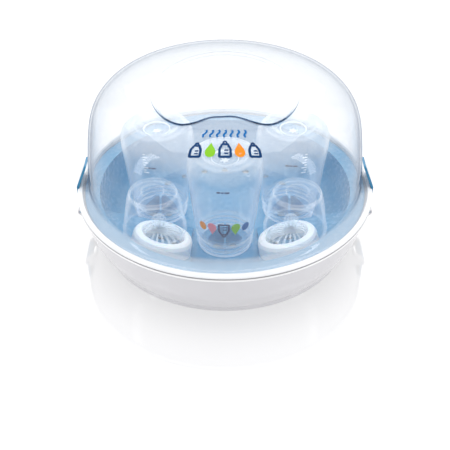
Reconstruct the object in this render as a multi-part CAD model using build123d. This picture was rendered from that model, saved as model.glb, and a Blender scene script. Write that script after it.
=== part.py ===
from build123d import *
import math
import os


# Round microwave steam steriliser for baby bottles: a white base bowl that holds the water, a
# perforated rack that hangs in it, a clear domed lid, and two side clips that lean over the rim.
# It is loaded with three upside-down bottles, two screw rings with teats and two dome caps.
# The frame: origin at the middle of the underside, +Z up, -Y the front, clips on +X and -X.

# ---- driving dimensions, millimetres ----
rim_r = 140.0            # outer radius of the base lip and of the lid flange
base_top = 55.0          # height of the base lip's top face
wall = 2.5               # base wall
lid_gap = 0.3            # between the base lip and the lid flange
lid_wall = 2.2
plateau_top = 165.6      # flat grip plateau on the dome
rack_wall = 2.0
rack_rim_top = 54.0
rack_floor = 11.0        # top face of the rack floor
rest_gap = 0.3           # between a loaded piece and what it stands on

clip_half = 13.0         # half the clip's width
clip_thick = 2.4
clip_face_x = 138.0      # inner face of the closed clip
clip_lean = 0.40         # how far the clip leans in, per unit of height, above the rim
clip_top = 79.0
hinge_x = 138.5
hinge_z = 32.0
barrel_r = 3.2
pin_r = 1.55
pin_clearance = 0.05
ear_gap = 0.4
ear_thick = 4.0
notch_x = 137.5          # the lip and flange are cut back to here behind each clip

bottle_r = 34.4
bottle_height = 100.0
bottle_wall = 1.5
bottle_places = [(0.0, -35.0), (-64.0, 15.0), (64.0, 15.0)]
prong_r = 16.0
prong_height = 18.0

ring_r = 28.0
ring_height = 15.0
ring_hole_r = 19.5
ring_lean_in, ring_lean_back = 0.24, 0.20     # how far the ring's axis leans; its outer side is higher
ring_x, ring_y, ring_z = 58.8, -68.4, 30.8    # middle of the ring's lower face, right-hand side
nipple_x, nipple_y, nipple_z = 59.0, -66.0, 59.0

cap_x, cap_y, cap_z = 63.0, -64.4, 50.4
cap_r = 28.6
cap_height = 40.8
cap_wall = 1.3


def lathe(*outline):
    """Solid turned about Z from a closed outline drawn as (radius, height)."""
    edges = [edge for curve in outline for edge in curve.edges()]
    return revolve(Plane.XZ * make_face(edges), Axis.Z)


def block(low, high):
    """Axis-aligned box between two corners."""
    size = [b - a for a, b in zip(low, high)]
    middle = [(a + b) / 2 for a, b in zip(low, high)]
    return Pos(*middle) * Box(*size)


def both_sides(shape):
    """The shape and its mirror image across the YZ plane."""
    return [shape, mirror(shape, Plane.YZ)]


def clip_notches():
    """Cutters that set the rim back behind each clip."""
    half = clip_half + 1.5
    return both_sides(block((notch_x, -half, 48), (rim_r + 5, half, 62)))


# ---- base ----
def base_bowl():
    step = base_top - 0.8      # the lip's outer edge is set down, which leaves a shadow gap under the lid
    lip = Polyline((136.9, 47), (137.5, 50.6), (rim_r - 0.8, 51.6), (rim_r, 52.4), (rim_r, step - 0.3),
                   (rim_r - 0.3, step), (138.2, step), (138.2, base_top), (134, base_top), (134, 51.4),
                   (130.8, 51.4), (130.8, 50.2), (134.2, 46))
    outside = Spline((121.8, 6), (125.8, 12.4), (129.9, 21), (134.1, 33.5), (136.9, 47))
    inside = Spline((134.2, 46), (131.5, 33.5), (127, 21), (121.4, 10.6), (111, 3.4))
    foot = Polyline((0, 1.2), (112.6, 1.2), (113.6, 0), (119.6, 0), (120, 0.4), (120.2, 5.2), (121, 5.3),
                    (121.8, 6))
    floor = Polyline((111, 3.4), (0, 3.4), (0, 1.2))
    bowl = lathe(outside, lip, inside, floor, foot)
    cavity = lathe(Spline((134.2, 46), (131.5, 33.5), (127, 21), (121.4, 10.6), (111, 3.4)),
                   Polyline((111, 3.4), (0, 3.4), (0, 46), (134.2, 46)))
    for ear in both_sides(hinge_ears()):
        bowl += ear - cavity
    for notch in clip_notches():
        bowl -= notch
    return bowl


def hinge_ears():
    """The two lugs that hold the right-hand clip's stub pins."""
    side = make_face(Polyline((129, 19.4), (134, 22.5), (hinge_x + 2.2, hinge_z - 2.4), (hinge_x, hinge_z + barrel_r),
                              (131.5, hinge_z + barrel_r), (129, 19.4)))
    knuckle = Pos(hinge_x, hinge_z) * Circle(barrel_r)
    hole = Pos(hinge_x, hinge_z) * Circle(pin_r + pin_clearance)
    lug = extrude(Plane.XZ * (side + knuckle - hole), ear_thick)
    first = clip_half + ear_gap
    near = Pos(0, -first, 0) * lug
    far = Pos(0, first + ear_thick, 0) * lug
    return Compound([near, far])


# ---- clips ----
def side_clip():
    """Right-hand clip, closed: an upright plate that leans in over the rim, on a hinge barrel."""
    bend = base_top + 2.8
    reach = clip_lean * (clip_top - bend)
    outer_x = clip_face_x + clip_thick
    outline = Polyline((clip_face_x, hinge_z), (clip_face_x, bend), (clip_face_x - reach, clip_top),
                       (outer_x - reach, clip_top), (outer_x, bend + 0.6), (outer_x, hinge_z), (clip_face_x, hinge_z))
    plate = extrude(Plane.XZ * make_face(outline.edges()), clip_half, both=True)
    front = Polyline((-clip_half, 0), (-clip_half, 60), (-clip_half + 3.5, clip_top), (clip_half - 3.5, clip_top),
                     (clip_half, 60), (clip_half, 0), (-clip_half, 0))
    shape = fillet(make_face(front.edges()).vertices().group_by(Axis.Y)[-1], 3.0)
    plate &= Pos(120, 0, 0) * extrude(Plane.YZ * shape, 30)
    barrel = Pos(hinge_x, 0, hinge_z) * Rot(90, 0, 0) * Cylinder(barrel_r, 2 * clip_half)
    pin = Pos(hinge_x, 0, hinge_z) * Rot(90, 0, 0) * Cylinder(pin_r, 2 * (clip_half + ear_gap + ear_thick) - 0.6)
    grip = [Pos(clip_face_x + clip_thick, 0, z) * Rot(90, 0, 0) * Cylinder(0.7, 2 * clip_half - 8) for z in (42, 46, 50)]
    clip = plate + barrel + pin
    for rib in grip:
        clip += rib
    return clip


# ---- lid ----
def plateau(inset):
    """Outline of the grip plateau: a wide cloud shape with two lobes and a dent in front."""
    shrink = 1 - inset / 62
    half = [(0, -63), (10, -63.8), (22, -70), (35, -73.6), (47, -66.5), (57, -51.5), (63, -30), (58, 6),
            (34, 42), (0, 55)]
    whole = half + [(-x, y) for x, y in half[-2:0:-1]]
    return make_face(Spline(*[(x * shrink, y * shrink) for x, y in whole], periodic=True))


def lid():
    foot = base_top + lid_gap
    outside = Spline((128.4, 66), (127.1, 90), (124.1, 117), (118.4, 138), (104.7, 153.2), (80.5, 161.7), (57, 164),
                     (0, 165.4), tangents=[(0, 1), (-1, 0)])
    flare = Spline((rim_r - 1.2, foot + 2.4), (133, foot + 3.3), (128.4, 66), tangents=[(-1, 0), (0, 1)])
    edge = Polyline((rim_r - 1.2, foot + 2.4), (rim_r, foot + 1.4), (rim_r, foot + 0.3), (rim_r - 0.3, foot),
                    (134.6, foot), (132.6, foot + 1))
    under = Spline((132.6, foot + 1), (128, foot + 4.4), (126.2, 66), tangents=[(-1, 0.2), (0, 1)])
    inside = Spline((126.2, 66), (124.9, 90), (121.9, 116.4), (116.6, 136.6), (103.6, 151.4), (79.8, 159.6),
                    (56.7, 161.8), (0, 163.2), tangents=[(0, 1), (-1, 0)])
    outer = lathe(outside, flare, edge, Polyline((132.6, foot + 1), (0, foot + 1), (0, 165.4)))
    cavity = lathe(under, inside, Polyline((0, 163.2), (0, foot + 1), (132.6, foot + 1)))
    outer = raise_plateau(outer, 0, plateau_top)
    cavity = raise_plateau(cavity, lid_wall, plateau_top - lid_wall)
    shell = outer - cavity
    for notch in clip_notches():
        shell -= notch
    return shell


def raise_plateau(dome, inset, top):
    """Give the dome a nearly flat plateau with its middle at the given height."""
    crown = lathe(Spline((0, top), (35, top - 0.3), (62, top - 1), (95, top - 3.4)),
                  Polyline((95, top - 3.4), (95, top - 20), (0, top - 20), (0, top)))
    return dome + (crown & Pos(0, 0, top - 20) * extrude(plateau(inset), 40))


# ---- rack ----
def ring_plane(side, lift=0.0):
    """Plane of a screw ring's lower face, its normal leaning towards the middle of the rack."""
    upright = math.sqrt(1 - ring_lean_in ** 2 - ring_lean_back ** 2)
    normal = Vector(-side * ring_lean_in, ring_lean_back, upright)
    return Plane(origin=Vector(side * ring_x, ring_y, ring_z) + normal * lift, z_dir=normal)


def platform_region(inset):
    """Plan of the right-hand ring platform: the front corner of the rack, cut round the bottles."""
    corner = Pos(31 + 50, -17 - 60) * Rectangle(100, 120)
    shape = corner & Circle(119)
    for x, y in bottle_places:
        shape -= Pos(x, y) * Circle(32)
    return offset(shape, -inset) if inset else shape


def platform_block(inset, bottom, drop):
    """Upright prism over the platform's plan, sloped on top to suit the tilted ring."""
    prism = Pos(0, 0, bottom) * extrude(platform_region(inset), 60)
    return prism - ring_plane(1, -rest_gap - drop) * Pos(0, 0, 60) * Box(400, 400, 120)


def rack():
    under = rack_floor - rack_wall
    cavity_side = Spline((98, rack_floor), (110, 19), (118.2, 37), (119.5, rack_rim_top))
    cavity = lathe(cavity_side, Polyline((119.5, rack_rim_top), (0, rack_rim_top), (0, rack_floor), (98, rack_floor)))
    rim = Polyline((121.4, rack_rim_top - 2.3), (133.4, rack_rim_top - 2.3), (133.4, rack_rim_top - 0.6),
                   (132.8, rack_rim_top), (0, rack_rim_top), (0, under), (98.6, under))
    outer = lathe(Spline((98.6, under), (111.8, 17.6), (120.2, 36.8), (121.4, rack_rim_top - 2.3)), rim)
    shell = outer - cavity
    well = cavity + Pos(0, 0, rack_floor / 2) * Cylinder(96.5, rack_floor + 0.2)
    for side in (1, -1):
        raised = platform_block(0, under, 0)
        hollow = platform_block(rack_wall, -1, rack_wall)
        if side < 0:
            raised, hollow = mirror(raised, Plane.YZ), mirror(hollow, Plane.YZ)
        shell = shell + (raised & outer) - (hollow & well)
        shell -= platform_holes(side)
    for x, y in bottle_places:
        shell += Pos(x, y, rack_floor) * bottle_prong()
        shell -= Pos(x, y, rack_floor) * polar_holes(11.0, 4, 45, 3.6)
    for x, y, radius in floor_holes():
        shell -= Pos(x, y, rack_floor) * Cylinder(radius, 10)
    return shell


def bottle_prong():
    """Four tapered fins that stand up inside a bottle's mouth."""
    fin = make_face(Polyline((-prong_r, -1), (-prong_r, 5), (-5, prong_height), (5, prong_height), (prong_r, 5),
                             (prong_r, -1), (-prong_r, -1)))
    plate = extrude(Plane.XZ * fin, 1.0, both=True)
    return plate + Rot(0, 0, 90) * plate


def polar_holes(distance, count, start, radius):
    """Upright drills on a circle."""
    drills = [Rot(0, 0, start + 360 * i / count) * Pos(distance, 0, 0) * Cylinder(radius, 12) for i in range(count)]
    return Compound(drills)


def platform_holes(side):
    """Steam holes through a platform, square to its slope."""
    middle = Cylinder(9, 12)
    drills = Compound([middle, *polar_holes(18.5, 8, 0, 3.4).solids()])
    return ring_plane(side) * drills


def floor_holes():
    """Plan places and radii of the steam holes along the back of the floor."""
    angles = [math.radians(a) for a in range(45, 136, 15)]
    return [(86 * math.cos(a), 86 * math.sin(a), 3.5) for a in angles]


# ---- load ----
def bottle():
    """Wide-neck bottle standing on its mouth."""
    neck_r = 25.4
    body = [(26.6, 15.4), (28.8, 26), (30.8, 45), (33, 66), (bottle_r, 84), (32.6, 94), (27.6, 99), (21, bottle_height)]
    hollow = [(neck_r - bottle_wall, 14), (27.2, 26.4), (29.2, 45), (31.4, 66), (bottle_r - bottle_wall, 84),
              (31.1, 93.2), (26.8, 97.6), (21, bottle_height - bottle_wall)]
    mouth = Polyline((neck_r - bottle_wall, 0), (neck_r, 0), (neck_r, 12.4), (27.6, 13), (27.6, 14.4), (26.6, 15.4))
    top = bottle_height
    punt = [*Polyline((21, top), (19.4, top - 1.2)).edges(),
            Spline((19.4, top - 1.2), (12, top - 6.2), (0, top - 8.6), tangents=[(-0.9, -0.45), (-1, 0)]),
            Line((0, top - 8.6), (0, top - 10.4)),
            Spline((0, top - 10.4), (12.4, top - 7.9), (19.2, top - 2.9), tangents=[(1, 0), (0.9, 0.45)]),
            Line((19.2, top - 2.9), (21, top - bottle_wall))]
    throat = Polyline((neck_r - bottle_wall, 14), (neck_r - bottle_wall, 0))
    shell = lathe(mouth, Spline(*body), *punt, Spline(*hollow), throat)
    for z in (3.2, 7.6):
        shell += lathe(Polyline((neck_r - 0.5, z), (neck_r + 1.3, z + 0.7), (neck_r + 1.3, z + 1.4), (neck_r - 0.5, z + 2.1),
                                (neck_r - 0.5, z)))
    return shell


def screw_ring():
    """Screw ring, open end down, with a rounded shoulder and a wide hole."""
    bore_r = 25.9
    profile = Polyline((bore_r, 0), (ring_r, 0), (ring_r - 0.8, 10.6), (ring_r - 2.2, 13.6), (ring_r - 5, ring_height),
                       (ring_hole_r + 1, ring_height), (ring_hole_r, ring_height - 1), (ring_hole_r, 11.6),
                       (bore_r, 11.6), (bore_r, 0))
    return lathe(profile)


def teat(side):
    """Silicone teat: a flange and dome square to the ring, and a nipple that stands upright."""
    skin = 1.8
    dome = lathe(Polyline((0, 9.2), (25.5, 9.2), (25.5, 11.3), (19.1, 11.3), (18.9, 14.5)),
                 Spline((18.9, 14.5), (15.5, 18.6), (10, 20.6), (0, 21.4)), Polyline((0, 21.4), (0, 9.2)))
    hollow = lathe(Polyline((0, 8), (17.1, 8), (17.1, 14)), Spline((17.1, 14), (14.4, 17), (9.5, 18.8), (0, 19.6)),
                   Polyline((0, 19.6), (0, 8)))
    seat = ring_plane(side)
    drop = 12.0
    place = Pos(side * nipple_x, nipple_y, nipple_z)
    stem = lathe(Polyline((0, -drop), (9, -drop)), Spline((9, -drop), (5.8, -7.5), (5.2, -4), (6.6, 0.4), (4.6, 4.8), (0, 6.2)),
                 Polyline((0, 6.2), (0, -drop)))
    bore = Pos(0, 0, -9) * Cylinder(3.4, 22)
    return seat * dome + place * stem - seat * hollow - place * bore


def dome_cap():
    """Clear travel cap, open end down, with a rolled rim and rings moulded in its top."""
    top = cap_height
    outside = Spline((cap_r - 0.6, 4), (26.6, 13), (24.6, 26), (22.4, 36), (18.5, top), tangents=[(-0.08, 1), (-1, 0)])
    inside = Spline((cap_r - 0.6 - cap_wall, 4), (25.3, 13), (23.3, 26), (21.1, 35.2), (17.8, top - cap_wall),
                    tangents=[(-0.08, 1), (-1, 0)])
    rim = Polyline((cap_r - 0.6 - cap_wall, 4), (cap_r - 0.6 - cap_wall, 0), (cap_r, 0), (cap_r, 3.2), (cap_r - 0.6, 4))
    crown = Polyline((18.5, top), (10.4, top), (9.6, top - 0.7), (0, top - 0.7), (0, top - 2), (10.2, top - 2),
                     (11, top - cap_wall), (17.8, top - cap_wall))
    return lathe(outside, crown, inside, rim)


# ---- parts ----
os.makedirs("parts", exist_ok=True)
seated = rack_floor + rest_gap
right_clip = side_clip()
right_ring = ring_plane(1) * screw_ring()
right_cap = Pos(cap_x, cap_y, cap_z) * dome_cap()
bottle_names = ["bottle_front", "bottle_left", "bottle_right"]

nodes = {
    "base_bowl": base_bowl(),
    "rack": rack(),
    "lid": lid(),
    "clip_right": right_clip,
    "clip_left": mirror(right_clip, Plane.YZ),
    "screw_ring_right": right_ring,
    "screw_ring_left": mirror(right_ring, Plane.YZ),
    "teat_right": teat(1),
    "teat_left": teat(-1),
    "cap_right": right_cap,
    "cap_left": mirror(right_cap, Plane.YZ),
}
for name, (x, y) in zip(bottle_names, bottle_places):
    nodes[name] = Pos(x, y, seated) * bottle()

for name, shape in nodes.items():
    export_step(shape, f"parts/{name}.step")
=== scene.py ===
import math

import bmesh
import bpy
import numpy as np
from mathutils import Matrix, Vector


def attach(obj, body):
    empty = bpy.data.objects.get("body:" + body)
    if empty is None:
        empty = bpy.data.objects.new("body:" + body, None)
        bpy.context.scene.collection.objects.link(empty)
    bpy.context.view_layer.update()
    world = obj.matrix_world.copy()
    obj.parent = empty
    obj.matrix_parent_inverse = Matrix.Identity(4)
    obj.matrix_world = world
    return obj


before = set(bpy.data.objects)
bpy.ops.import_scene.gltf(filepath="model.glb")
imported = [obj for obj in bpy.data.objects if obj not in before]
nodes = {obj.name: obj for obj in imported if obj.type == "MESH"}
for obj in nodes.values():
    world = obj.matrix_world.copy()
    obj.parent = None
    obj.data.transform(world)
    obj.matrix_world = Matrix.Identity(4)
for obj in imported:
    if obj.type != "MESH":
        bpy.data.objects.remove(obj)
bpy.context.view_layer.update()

MM = 0.001
FLOOR_LEVEL = -0.0002      # just below the foot
PLASTIC_IOR = 1.49

# ---- places and outlines in millimetres, as in the CAD model ----
BOTTLES = {"front": (0, -35), "left": (-64, 15), "right": (64, 15)}     # axes of the bottles
BOTTLE_FOOT = 11.3                                                      # height of the bottles' mouths
BOTTLE_HEIGHT = 100
SIDES = {"left": -1, "right": 1}
CAP_AXIS = (63.0, -64.4)                                                # of the right-hand cap
TEAT_AXIS = (58.8, -68.4)                                               # of the right-hand teat
LID_SIDE = [(128.4, 66), (127.1, 90), (124.1, 117), (118.4, 138), (104.7, 153.2), (80.5, 161.7), (57, 164),
            (0, 165.4)]                                                 # radius, height from the floor
BOTTLE_SIDE = [(26.6, 15.4), (28.8, 26), (30.8, 45), (33, 66), (34.4, 84), (32.6, 94), (27.6, 99),
               (21, 100)]                                               # radius, height from the mouth
BOTTLE_PUNT = [(0, -8.6), (12, -6.2), (19.4, -1.2)]                     # radius, height from the bottle's top


# ---- curves ----
def spline(points, start=None, end=None, steps=8):
    """Points along a smooth curve through the given ones, with the end directions given or left free."""
    p = np.array(points, float)
    chord = np.linalg.norm(np.diff(p, axis=0), axis=1)
    n = len(p)
    a = np.zeros((n, n))
    b = np.zeros((n, 2))
    for i in range(1, n - 1):
        left, right = chord[i - 1], chord[i]
        a[i, i - 1:i + 2] = right, 2 * (left + right), left
        b[i] = 3 * (right * (p[i] - p[i - 1]) / left + left * (p[i + 1] - p[i]) / right)
    for row, direction, other in ((0, start, 1), (n - 1, end, n - 2)):
        if direction is None:
            a[row, row], a[row, other] = 2, 1
            step = (p[1] - p[0]) / chord[0] if row == 0 else (p[-1] - p[-2]) / chord[-1]
            b[row] = 3 * step
        else:
            a[row, row] = 1
            b[row] = np.array(direction, float) / np.linalg.norm(direction)
    slope = np.linalg.solve(a, b)
    out = [p[0]]
    for i in range(n - 1):
        for k in range(1, steps + 1):
            u = k / steps
            h = chord[i]
            out.append((2 * u ** 3 - 3 * u ** 2 + 1) * p[i] + (u ** 3 - 2 * u ** 2 + u) * h * slope[i]
                       + (3 * u ** 2 - 2 * u ** 3) * p[i + 1] + (u ** 3 - u ** 2) * h * slope[i + 1])
    return [tuple(q) for q in out]


def rounded(points, radius, steps=4):
    """An open outline with each inner corner rounded by an arc-like bend."""
    p = [np.array(q, float) for q in points]
    out = [tuple(p[0])]
    for before, corner, after in zip(p, p[1:], p[2:]):
        cut = min(radius, np.linalg.norm(before - corner) / 2.2, np.linalg.norm(after - corner) / 2.2)
        a = corner + (before - corner) / np.linalg.norm(before - corner) * cut
        b = corner + (after - corner) / np.linalg.norm(after - corner) * cut
        for k in range(steps + 1):
            u = k / steps
            out.append(tuple((1 - u) ** 2 * a + 2 * u * (1 - u) * corner + u ** 2 * b))
    return out + [tuple(p[-1])]


# ---- meshes ----
def finish_mesh(name, mesh, angle=38):
    bm = bmesh.new()
    bm.from_mesh(mesh)
    bmesh.ops.recalc_face_normals(bm, faces=bm.faces)
    bm.to_mesh(mesh)
    bm.free()
    mesh.polygons.foreach_set("use_smooth", [True] * len(mesh.polygons))
    mesh.set_sharp_from_angle(angle=math.radians(angle))
    piece = bpy.data.objects.new(name, mesh)
    bpy.context.scene.collection.objects.link(piece)
    return piece


# ---- materials ----
def graph(name):
    """A new node material, and a function that adds a node and links or sets its inputs."""
    material = bpy.data.materials.new(name)
    material.use_nodes = True
    tree = material.node_tree
    tree.nodes.clear()

    def add(kind, inputs=None, **settings):
        node = tree.nodes.new("ShaderNode" + kind)
        for key, value in settings.items():
            setattr(node, key, value)
        for key, value in (inputs or {}).items():
            socket = node.inputs[key]
            if isinstance(value, bpy.types.NodeSocket):
                tree.links.new(value, socket)
            else:
                socket.default_value = value
        return node

    return material, add


def noise(add, where, scale, low, high, detail=3.0):
    """Noise of features about 1 / scale metres across, spread from low to high."""
    grain = add("TexNoise", {"Vector": where, "Scale": scale, "Detail": detail, "Roughness": 0.55})
    spread = add("MapRange", {"Value": grain.outputs["Fac"], "From Min": 0.3, "From Max": 0.7,
                              "To Min": low, "To Max": high})
    return spread.outputs["Result"]


def blend_colors(add, factor, a, b):
    mix = add("Mix", {"Factor": factor}, data_type="RGBA")
    mix.inputs[6].default_value = (*a, 1)
    mix.inputs[7].default_value = (*b, 1)
    return mix.outputs[2]


def math_node(add, kind, a, b=0.0, c=0.0):
    return add("Math", {0: a, 1: b, 2: c}, operation=kind).outputs[0]


def over(add, factor, color, other):
    """The colour with another laid over it by the factor."""
    mix = add("Mix", {"Factor": factor, 6: color}, data_type="RGBA")
    mix.inputs[7].default_value = (*other, 1)
    return mix.outputs[2]


def total(add, values):
    whole = values[0]
    for value in values[1:]:
        whole = math_node(add, "ADD", whole, value)
    return whole


def product(add, *values):
    whole = values[0]
    for value in values[1:]:
        whole = math_node(add, "MULTIPLY", whole, value)
    return whole


def ramp(add, value, low, high, top=1.0):
    """0 at low, top at high, smooth between them."""
    step = add("MapRange", {"Value": value, "From Min": low, "From Max": high, "To Max": top},
               interpolation_type="SMOOTHSTEP")
    return step.outputs["Result"]


def line(add, value, low, high, top, soft=0.0005):
    """top between low and high, 0 outside, with soft edges."""
    return product(add, ramp(add, value, low - soft, low, top), ramp(add, value, high + soft, high))


def around(add, where, middle=(0, 0)):
    """Distance from an upright axis, the two coordinates from it, and the height."""
    place = add("SeparateXYZ", {0: where})
    x = math_node(add, "SUBTRACT", place.outputs[0], middle[0] * MM)
    y = math_node(add, "SUBTRACT", place.outputs[1], middle[1] * MM)
    square = math_node(add, "ADD", product(add, x, x), product(add, y, y))
    return math_node(add, "SQRT", square), x, y, place.outputs[2]


def moulded(name, pale, deep, roughness=(0.16, 0.26), bump=0.06, coat=0.0, subsurface=0.0,
            specular=0.5, extra=None):
    """Opaque moulded plastic: a slight drift of colour, uneven gloss and a fine skin texture."""
    material, add = graph(name)
    where = add("TexCoord").outputs["Object"]
    color = blend_colors(add, noise(add, where, 38, 0, 1, 4), deep, pale)
    if extra:
        color = extra(add, where, color)
    gloss = noise(add, where, 210, *roughness)
    skin_grain = add("TexNoise", {"Vector": where, "Scale": 1700, "Detail": 2.0})
    ripple = add("TexNoise", {"Vector": where, "Scale": 46, "Detail": 1.0})
    height = math_node(add, "MULTIPLY_ADD", ripple.outputs["Fac"], 2.2, skin_grain.outputs["Fac"])
    normal = add("Bump", {"Height": height, "Strength": bump, "Distance": 0.0004})
    shader = add("BsdfPrincipled", {
        "Base Color": color, "Roughness": gloss, "Normal": normal.outputs[0], "IOR": PLASTIC_IOR,
        "Specular IOR Level": specular, "Coat Weight": coat, "Coat Roughness": 0.06,
        "Subsurface Weight": subsurface, "Subsurface Scale": 0.004})
    add("OutputMaterial", {"Surface": shader.outputs[0]})
    return material


def clear(name, tint, edge_tint, body, haze=(0.02, 0.05), edge_haze=0.5, edge_power=3.0,
          roughness=(0.03, 0.08), body_roughness=0.4, wave=0.05, sheen_color=(0.92, 0.95, 0.98),
          edge_sheen=(0.42, 0.48, 0.58), painted_glow=0.0, shine=0.04, extra=None):
    """Clear plastic: see-through face on, paler and duller at grazing angles, with a reflecting skin.
    Shadow rays pass more light than the eye sees, so that what stands inside is lit."""
    material, add = graph(name)
    where = add("TexCoord").outputs["Object"]
    ripple = add("TexNoise", {"Vector": where, "Scale": 34, "Detail": 2.0})
    normal = add("Bump", {"Height": ripple.outputs["Fac"], "Strength": wave, "Distance": 0.0015}).outputs[0]
    facing = add("LayerWeight", {"Blend": 0.5}).outputs["Facing"]
    grazing = math_node(add, "POWER", facing, edge_power)
    tint_color = blend_colors(add, grazing, tint, edge_tint)
    milk = math_node(add, "MULTIPLY_ADD", grazing, edge_haze, noise(add, where, 55, *haze, 4))
    if extra:
        tint_color, milk = extra(add, where, tint_color, milk)
    shadow_ray = add("LightPath").outputs["Is Shadow Ray"]
    lets_light_in = math_node(add, "MULTIPLY_ADD", shadow_ray, -0.85, 1.0)
    tint_color = over(add, math_node(add, "MULTIPLY", shadow_ray, 0.8), tint_color, (1, 1, 1))
    milk = math_node(add, "MULTIPLY", milk, lets_light_in)
    through = add("BsdfTransparent", {"Color": tint_color})
    # painted light: the milky body gives off white light of its own by its emission, so that its pale
    # outlines read bright
    solid = add("BsdfPrincipled", {
        "Base Color": blend_colors(add, noise(add, where, 60, 0, 1), tuple(0.94 * c for c in body), body),
        "Roughness": noise(add, where, 150, body_roughness - 0.08, body_roughness + 0.08), "IOR": PLASTIC_IOR,
        "Emission Color": (1, 1, 1, 1), "Emission Strength": painted_glow})
    inner = add("MixShader", {0: milk, 1: through.outputs[0], 2: solid.outputs[0]})
    glare = math_node(add, "MULTIPLY_ADD", math_node(add, "POWER", facing, 5.0), 0.93, shine)
    glare = math_node(add, "MULTIPLY", glare, lets_light_in)
    sheen = blend_colors(add, math_node(add, "POWER", facing, 3.0), sheen_color, edge_sheen)
    mirror = add("BsdfGlossy", {"Color": sheen, "Roughness": noise(add, where, 120, *roughness),
                                "Normal": normal})
    whole = add("MixShader", {0: glare, 1: inner.outputs[0], 2: mirror.outputs[0]})
    add("OutputMaterial", {"Surface": whole.outputs[0]})
    return material


def lid_frost_and_painted_light(add, where, tint_color, milk):
    """The lid's foot flange is milky with frost. Over the lid lies painted light: a painted highlight at the
    lower bend, a painted reflection that makes the shoulder and crown paler, and painted shade on the
    plateau's dark step.
    """
    radius, _, y, z = around(add, where)
    # the lower bend, where the wall turns into the flange, is made milkier: partly the thick plastic there,
    # partly a painted highlight
    bend = ramp(add, z, 0.0675, 0.0650, 0.22)
    flange = ramp(add, radius, 0.1346, 0.1362, 0.93)
    # painted reflection: the shoulder grows milkier towards the top, standing in for the overhead light
    # mirrored in the dome
    shoulder = ramp(add, z, 0.132, 0.152, 0.17)
    # painted shade: the steep wall of the plateau's step is tinted dark blue and cleared of milk, more
    # strongly in front
    up = add("SeparateXYZ", {0: add("NewGeometry").outputs["Normal"]}).outputs[2]
    steep = ramp(add, math_node(add, "ABSOLUTE", up), 0.75, 0.45)
    shade_darker_in_front = math_node(add, "ADD", ramp(add, y, 0.0, -0.034, 0.74), 0.26)
    step = product(add, steep, ramp(add, z, 0.1600, 0.1606), shade_darker_in_front)
    # painted reflection: the crown is made milkier too
    level = math_node(add, "ADD", z, product(add, radius, radius, 0.4))
    crown = ramp(add, level, 0.16545, 0.16555, 0.28)
    frost_and_painted_light = math_node(add, "MAXIMUM", crown, math_node(add, "MAXIMUM", bend, flange))
    frost_and_painted_light = math_node(add, "MAXIMUM", math_node(add, "ADD", milk, shoulder), frost_and_painted_light)
    return (over(add, step, tint_color, (0.08, 0.18, 0.30)),
            product(add, frost_and_painted_light, math_node(add, "SUBTRACT", 1.0, step)))


def lip_painted_light(add, where, color):
    """The base's lip is painted paler than its bowl, a painted highlight, and the step under the lid is
    painted in deep shade.
    """
    z = add("SeparateXYZ", {0: where}).outputs[2]
    # painted highlight: the lip above the bowl is given a pale colour
    lip = over(add, ramp(add, z, 0.0512, 0.0520), color, (0.90, 0.90, 0.91))
    # painted shade: the step just under the lid's flange is given a dark colour
    return over(add, ramp(add, z, 0.05400, 0.05412), lip, (0.40, 0.395, 0.41))


def bottle_marks(middle):
    """A bottle's moulded rings: on its bottom, which is uppermost, and at its thread and mouth."""
    def marks(add, where, tint_color, milk):
        radius, _, _, z = around(add, where, middle)
        rings = total(add, [line(add, radius, 0.0196, 0.0208, 0.12), line(add, radius, 0.0208, 0.0262, 0.02),
                            line(add, radius, 0.0262, 0.0276, 0.16)])
        bottom = product(add, ramp(add, z, 0.1005, 0.1020), rings)
        bands = [line(add, z, *band) for band in ((0.0112, 0.0126, 0.5), (0.0165, 0.0177, 0.35),
                                                  (0.0215, 0.0227, 0.35), (0.0262, 0.0276, 0.2))]
        thicker = [ramp(add, z, 0.094, 0.102, 0.04), ramp(add, z, 0.036, 0.024, 0.04)]
        return tint_color, total(add, [milk, bottom] + thicker + bands)
    return marks


def cap_rings_and_painted_highlight(middle):
    """The crisp edge of a cap's top, made milkier as a painted highlight; the shallow ring in it; and its
    lower rim.
    """
    def marks(add, where, tint_color, milk):
        radius, _, _, z = around(add, where, middle)
        # painted highlight: a thin milky ring round the outer edge of the cap's top
        edge = product(add, ramp(add, z, 0.0850, 0.0856), line(add, radius, 0.0206, 0.0212, 0.16))
        ring = product(add, ramp(add, z, 0.0890, 0.0895), line(add, radius, 0.0096, 0.0101, 0.14))
        rim = line(add, z, 0.0502, 0.0510, 0.10)
        return tint_color, total(add, [milk, edge, ring, rim])
    return marks


def teat_marks(middle):
    """The 18 ribs inside a teat's skirt."""
    def marks(add, where, tint_color, milk):
        radius, x, y, _ = around(add, where, middle)
        wave = math_node(add, "SINE", product(add, math_node(add, "ARCTAN2", y, x), 18.0))
        ribs = product(add, ramp(add, wave, 0.0, 0.6, 0.19), line(add, radius, 0.0075, 0.0180, 1.0, 0.001))
        return tint_color, math_node(add, "ADD", milk, ribs)
    return marks


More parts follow.
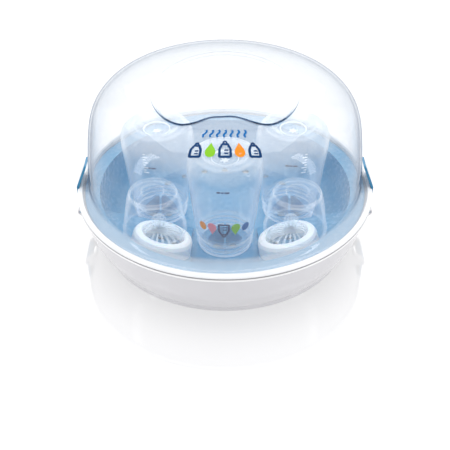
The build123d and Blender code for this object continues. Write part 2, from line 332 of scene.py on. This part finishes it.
white_plastic = moulded("base_plastic", (0.655, 0.65, 0.68), (0.63, 0.625, 0.655), (0.10, 0.2), coat=0.5,
                        extra=lip_painted_light)
ring_plastic = moulded("ring_plastic", (0.88, 0.90, 0.92), (0.85, 0.875, 0.91), (0.24, 0.36), subsurface=0.15)
rack_plastic = moulded("rack_plastic", (0.07, 0.31, 0.535), (0.055, 0.275, 0.49), (0.2, 0.32), coat=0.3)
clip_plastic = moulded("clip_plastic", (0.004, 0.20, 0.38), (0.003, 0.16, 0.32), (0.12, 0.22), coat=0.5)
finish = {"base_bowl": white_plastic, "rack": rack_plastic,
          "clip_left": clip_plastic, "clip_right": clip_plastic}
finish["lid"] = clear("lid_plastic", (0.988, 0.992, 0.996), (0.42, 0.45, 0.50), (0.86, 0.87, 0.89),
                      haze=(0.012, 0.03), edge_haze=0.10, edge_power=10.0, extra=lid_frost_and_painted_light)
for name, middle in BOTTLES.items():
    finish[f"bottle_{name}"] = clear(
        f"bottle_{name}_plastic", (0.965, 0.98, 0.99), (0.78, 0.87, 0.95), (0.80, 0.90, 0.99),
        haze=(0.02, 0.05), edge_haze=0.85, edge_power=4.2, roughness=(0.04, 0.09), painted_glow=0.14,
        edge_sheen=(0.8, 0.88, 0.95), shine=0.03, extra=bottle_marks(middle))
for name, side in SIDES.items():
    finish[f"screw_ring_{name}"] = ring_plastic
    finish[f"cap_{name}"] = clear(
        f"cap_{name}_plastic", (0.955, 0.975, 0.99), (0.80, 0.88, 0.94), (0.93, 0.97, 1.0),
        haze=(0.0, 0.01), edge_haze=1.0, edge_power=6.5, painted_glow=0.5, shine=0.018,
        edge_sheen=(0.85, 0.92, 0.97), extra=cap_rings_and_painted_highlight((side * CAP_AXIS[0], CAP_AXIS[1])))
    finish[f"teat_{name}"] = clear(
        f"teat_{name}_rubber", (0.965, 0.98, 0.99), (0.78, 0.85, 0.91), (0.90, 0.95, 0.99),
        haze=(0.01, 0.05), edge_haze=1.0, edge_power=4.0, roughness=(0.06, 0.12), body_roughness=0.45,
        painted_glow=0.45, edge_sheen=(0.85, 0.92, 0.97), extra=teat_marks((side * TEAT_AXIS[0], TEAT_AXIS[1])))
for node, material in finish.items():
    nodes[node].data.materials.clear()
    nodes[node].data.materials.append(material)

ink_navy = moulded("ink_navy", (0.006, 0.045, 0.15), (0.005, 0.035, 0.12), (0.4, 0.5), specular=0.1)
ink_blue = moulded("ink_blue", (0.004, 0.13, 0.38), (0.003, 0.11, 0.33), (0.4, 0.5), specular=0.1)
ink_green = moulded("ink_green", (0.24, 0.55, 0.03), (0.21, 0.49, 0.025), (0.4, 0.5), specular=0.1)
ink_orange = moulded("ink_orange", (0.85, 0.27, 0.02), (0.77, 0.24, 0.018), (0.4, 0.5), specular=0.1)
ink_pink = moulded("ink_pink", (0.88, 0.25, 0.32), (0.80, 0.22, 0.28), (0.4, 0.5), specular=0.1)
# pale ink for the scales, and also a painted glint on the moulded star and ring of each bottle's bottom
pale_ink_and_glint = moulded("pale_ink_and_glint", (0.80, 0.88, 0.96), (0.74, 0.83, 0.92), (0.3, 0.4))


# ---- prints and moulded marks ----
def arc_table(outline):
    """The outline with the length along it: rows of radius, height, length."""
    p = np.array(outline, float)
    length = np.concatenate([[0], np.cumsum(np.linalg.norm(np.diff(p, axis=0), axis=1))])
    return np.column_stack([p, length])


def on_turned(outline, middle, start, heading=0.0):
    """A function that lays a flat drawing (u across, v up, h proud, in mm) on a turned surface, seen from
    the front."""
    table = arc_table(outline)

    def place(u, v, h):
        length = start + v
        r = float(np.interp(length, table[:, 2], table[:, 0]))
        z = float(np.interp(length, table[:, 2], table[:, 1]))
        ahead = [float(np.interp(length + 0.5, table[:, 2], table[:, k])) for k in (0, 1)]
        behind = [float(np.interp(length - 0.5, table[:, 2], table[:, k])) for k in (0, 1)]
        along = Vector((ahead[0] - behind[0], ahead[1] - behind[1])).normalized()
        turned = heading + u / max(float(np.interp(start, table[:, 2], table[:, 0])), 1)
        out = r + h * along[1]
        return (middle[0] + out * math.sin(turned), middle[1] - out * math.cos(turned),
                middle[2] + z - h * along[0])

    return place


def length_at(outline, height):
    table = arc_table(outline)
    return float(np.interp(height, table[:, 1], table[:, 2]))


def prism_mesh(name, shapes, place, low, high):
    """Thin closed pieces laid over flat shapes. A shape is its two sides, point by point, and whether they
    join up at their ends."""
    verts, faces = [], []
    for left, right, closed in shapes:
        n = len(left)
        base = len(verts)
        for h in (low, high):
            verts.extend(place(u, v, h) for u, v in left)
            verts.extend(place(u, v, h) for u, v in right)
        count = n if closed else n - 1
        for k in range(count):
            m = (k + 1) % n
            a, b, c, d = base + k, base + m, base + n + m, base + n + k
            faces.append((a, b, c, d))
            faces.append((a + 2 * n, d + 2 * n, c + 2 * n, b + 2 * n))
            faces.append((a, a + 2 * n, b + 2 * n, b))
            faces.append((d, c, c + 2 * n, d + 2 * n))
        if not closed:
            for k in (0, n - 1):
                faces.append((base + k, base + n + k, base + 3 * n + k, base + 2 * n + k))
    mesh = bpy.data.meshes.new(name)
    mesh.from_pydata([tuple(c * MM for c in v) for v in verts], [], faces)
    mesh.update()
    return finish_mesh(name, mesh)


def stroke(points, width, closed=False):
    """The two sides of a drawn line of this width."""
    p = np.array(points, float)
    if closed:
        before, after = np.roll(p, 1, axis=0), np.roll(p, -1, axis=0)
    else:
        before, after = np.vstack([p[:1], p[:-1]]), np.vstack([p[1:], p[-1:]])
    along = after - before
    along /= np.linalg.norm(along, axis=1)[:, None]
    side = np.column_stack([-along[:, 1], along[:, 0]]) * width / 2
    return [tuple(q) for q in p + side], [tuple(q) for q in p - side], closed


def ellipse(u, v, a, b, count=28):
    angles = np.radians(np.linspace(0, 360, count, endpoint=False))
    return [(u + a * math.cos(t), v + b * math.sin(t)) for t in angles]


def blob(u, v, outline):
    """A filled convex shape as a fan: its outline and a tiny ring at its middle."""
    return [(u + 0.02 * (x - u), v + 0.02 * (y - v)) for x, y in outline], outline, True


def add_print(name, shapes, place, body, material, low=-0.02, high=0.10):
    """A print or moulded mark, from low to high above its surface in mm, that moves with the body."""
    piece = prism_mesh(name, shapes, place, low, high)
    piece.data.materials.append(material)
    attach(piece, body)
    return piece


def subdivided(points, step=0.7):
    """The same line with points close together, so that it bends over a curved surface."""
    out = [points[0]]
    for a, b in zip(points, points[1:]):
        count = max(1, math.ceil(math.dist(a, b) / step))
        out += [(a[0] + (b[0] - a[0]) * k / count, a[1] + (b[1] - a[1]) * k / count)
                for k in range(1, count + 1)]
    return out


lid_outline = spline(LID_SIDE, (0, 1), (-1, 0), 14)
half_drop = [(0, 6.4), (1.7, 3.2), (3.3, 0.4), (3.8, -2.2), (3.0, -4.6), (1.2, -5.9), (0, -6.1)]
drop = spline(half_drop + [(-u, v) for u, v in half_drop[-2::-1]], (0.5, -1), (0.5, 1), 4)[:-1]
shoulders = [(-2.6, 4.6), (-2.6, 3.0), (-3.9, 1.2), (-3.9, -5.6), (3.9, -5.6), (3.9, 1.2), (2.6, 3.0),
             (2.6, 4.6), (-2.6, 4.6)]
teat_top = [(-1.5, 4.4), (-0.9, 7.2), (0.9, 7.2), (1.5, 4.4)]


def bottle_icon(u, size, level=0.0):
    """An outlined bottle with two graduation ticks."""
    lines = [(rounded(shoulders, 1.0), 1.9), (rounded(teat_top, 1.0), 1.6),
             ([(-0.6, -0.4), (2.4, -0.4)], 1.2), ([(-0.6, -2.9), (2.4, -2.9)], 1.2)]
    return [stroke(subdivided([(size * a + u, size * b + level) for a, b in points]), width)
            for points, width in lines]


def drop_icon(u, size, level=0.0, up=1):
    return [blob(u, level, [(size * a + u, up * size * b + level) for a, b in drop])]


def waves(places, level, height):
    """A row of upright wavy strokes, for steam."""
    rise = np.linspace(-height / 2, height / 2, 22)
    return [stroke([(u + 1.2 * math.sin(v * 5.9 / height), level + v) for v in rise], 1.9) for u in places]


flat_on_lid = on_turned(lid_outline, (0, 0, 0), 99.0)


def on_lid(u, v, h):
    """A straight row on the dome: upright strokes stay upright, and the row's ends are set lower to look
    level."""
    return flat_on_lid(u * (1 + 0.00002 * u * u), v - 0.0035 * u * u, h)


add_print("lid_bottle_icons",
          bottle_icon(0, 1.1) + bottle_icon(-22.5, 0.95, -0.6) + bottle_icon(22.5, 0.95, -0.6),
          on_lid, "lid", ink_navy)
add_print("lid_drop_green", drop_icon(-11.4, 1.05), on_lid, "lid", ink_green)
add_print("lid_drop_orange", drop_icon(11.4, 1.05), on_lid, "lid", ink_orange)
add_print("lid_steam", waves((-18.6, -12.4, -6.2, 0, 6.2, 12.4, 18.6), 16.5, 8.0), on_lid, "lid",
          ink_blue)

bottle_outline = spline(BOTTLE_SIDE, steps=8)


def on_bottle(name, height, heading):
    return on_turned(bottle_outline, (*BOTTLES[name], BOTTLE_FOOT), length_at(bottle_outline, height),
                     math.radians(heading))


for name, side in (("left", 1), ("right", -1)):
    ticks = []
    for k in range(8):
        reach = 4.6 if k % 2 == 0 else 2.4
        ticks.append(stroke(subdivided([(-2.3 * side, 2.9 * k), ((reach - 2.3) * side, 2.9 * k)]), 0.85))
    add_print(f"bottle_{name}_scale", ticks, on_bottle(name, 66.5, -15 * side), f"bottle_{name}",
              pale_ink_and_glint, high=0.3)
for name, height, heading in (("front", 80.5, -3), ("left", 72, -9), ("right", 74.7, -5)):
    dashes = [stroke(subdivided([(u, 0), (u + reach, 0)]), 1.7)
              for u, reach in ((-5.6, 3.2), (-1.6, 2.2), (1.4, 4.2))]
    add_print(f"bottle_{name}_mark", dashes, on_bottle(name, height, heading), f"bottle_{name}",
              ink_navy)
row = on_bottle("front", 36.0, -2)
# the front bottle stands upside down, and so does its print
for name, shapes, ink in (("dot_orange", [blob(-21, 0, ellipse(-21, 0, 4.0, 4.6))], ink_orange),
                          ("drop_pink", drop_icon(-11, 1.1, up=-1), ink_pink),
                          ("icon", [([(u, -v) for u, v in a], [(u, -v) for u, v in b], closed)
                                    for a, b, closed in bottle_icon(0, 1.15)], ink_navy),
                          ("drop_green", drop_icon(11, 1.1, up=-1), ink_green),
                          ("dot_blue", [blob(21, 0, ellipse(21, 0, 4.0, 4.6))], ink_blue)):
    add_print(f"bottle_front_{name}", shapes, row, "bottle_front", ink)

# the ring and the star left by the mould on each bottle's bottom, which is uppermost; their pale colour is a
# painted glint
punt = np.array(spline(BOTTLE_PUNT, (1, 0), (0.9, 0.45)))
star = []
for k in range(12):
    reach, angle = (4.6 if k % 2 == 0 else 2.2), k * math.pi / 6 + 0.3
    star.append((reach * math.cos(angle), reach * math.sin(angle)))
gate = [blob(0, 0, star), stroke(ellipse(0, 0, 12.2, 12.2, 96), 1.1, True)]
for name, (x, y) in BOTTLES.items():
    def on_bottom(u, v, h, x=x, y=y):
        dip = float(np.interp(math.hypot(u, v), punt[:, 0], punt[:, 1]))
        return (x + u, y + v, BOTTLE_FOOT + BOTTLE_HEIGHT + h + dip)

    add_print(f"bottle_{name}_gate", gate, on_bottom, f"bottle_{name}", pale_ink_and_glint, -0.1, 0.6)


# ---- floor, lights, camera ----
floor_mesh = bpy.data.meshes.new("floor")
corners = [(x, y, FLOOR_LEVEL) for x, y in ((-6, -4), (6, -4), (6, 9), (-6, 9))]
floor_mesh.from_pydata(corners, [], [(0, 1, 2, 3)])
floor = bpy.data.objects.new("floor", floor_mesh)
bpy.context.scene.collection.objects.link(floor)
floor_finish, add = graph("floor_finish")
where = add("TexCoord").outputs["Object"]
board_color = blend_colors(add, noise(add, where, 3, 0, 1), (0.44, 0.44, 0.445), (0.46, 0.46, 0.465))
board = add("BsdfPrincipled", {"Base Color": board_color, "Roughness": noise(add, where, 9, 0.03, 0.06),
                               "IOR": 2.1, "Emission Color": (1, 1, 1, 1), "Emission Strength": 0.40})
add("OutputMaterial", {"Surface": board.outputs[0]})
floor.data.materials.append(floor_finish)

world = bpy.data.worlds.new("studio")
world.use_nodes = True
world.node_tree.nodes["Background"].inputs["Color"].default_value = (1, 1, 1, 1)
world.node_tree.nodes["Background"].inputs["Strength"].default_value = 1.0
bpy.context.scene.world = world


def softbox(name, place, aim, width, depth, power):
    lamp = bpy.data.lights.new(name, "AREA")
    lamp.shape, lamp.size, lamp.size_y, lamp.energy = "RECTANGLE", width, depth, power
    holder = bpy.data.objects.new(name, lamp)
    holder.location = place
    holder.rotation_euler = (Vector(aim) - Vector(place)).to_track_quat("-Z", "Y").to_euler()
    bpy.context.scene.collection.objects.link(holder)


softbox("overhead", (0.0, 0.25, 1.3), (0, 0, 0.05), 1.5, 1.0, 7)
softbox("back", (0.0, 2.2, 1.85), (0, 0, 0.15), 2.2, 1.3, 9)
softbox("left", (-1.1, -0.45, 0.5), (0, 0, 0.1), 0.16, 1.1, 1.6)
softbox("right", (1.1, -0.45, 0.5), (0, 0, 0.1), 0.16, 1.1, 1.6)

lens = bpy.data.cameras.new("camera")
lens.lens = 62.24
lens.sensor_width = 36
camera = bpy.data.objects.new("camera", lens)
camera.location = (0.0, -0.6144, 0.4842)
camera.rotation_euler = (math.radians(51.91), 0, 0)
bpy.context.scene.collection.objects.link(camera)
bpy.context.scene.camera = camera
bpy.context.scene.view_settings.view_transform = "Standard"
bpy.context.scene.cycles.transparent_max_bounces = 64
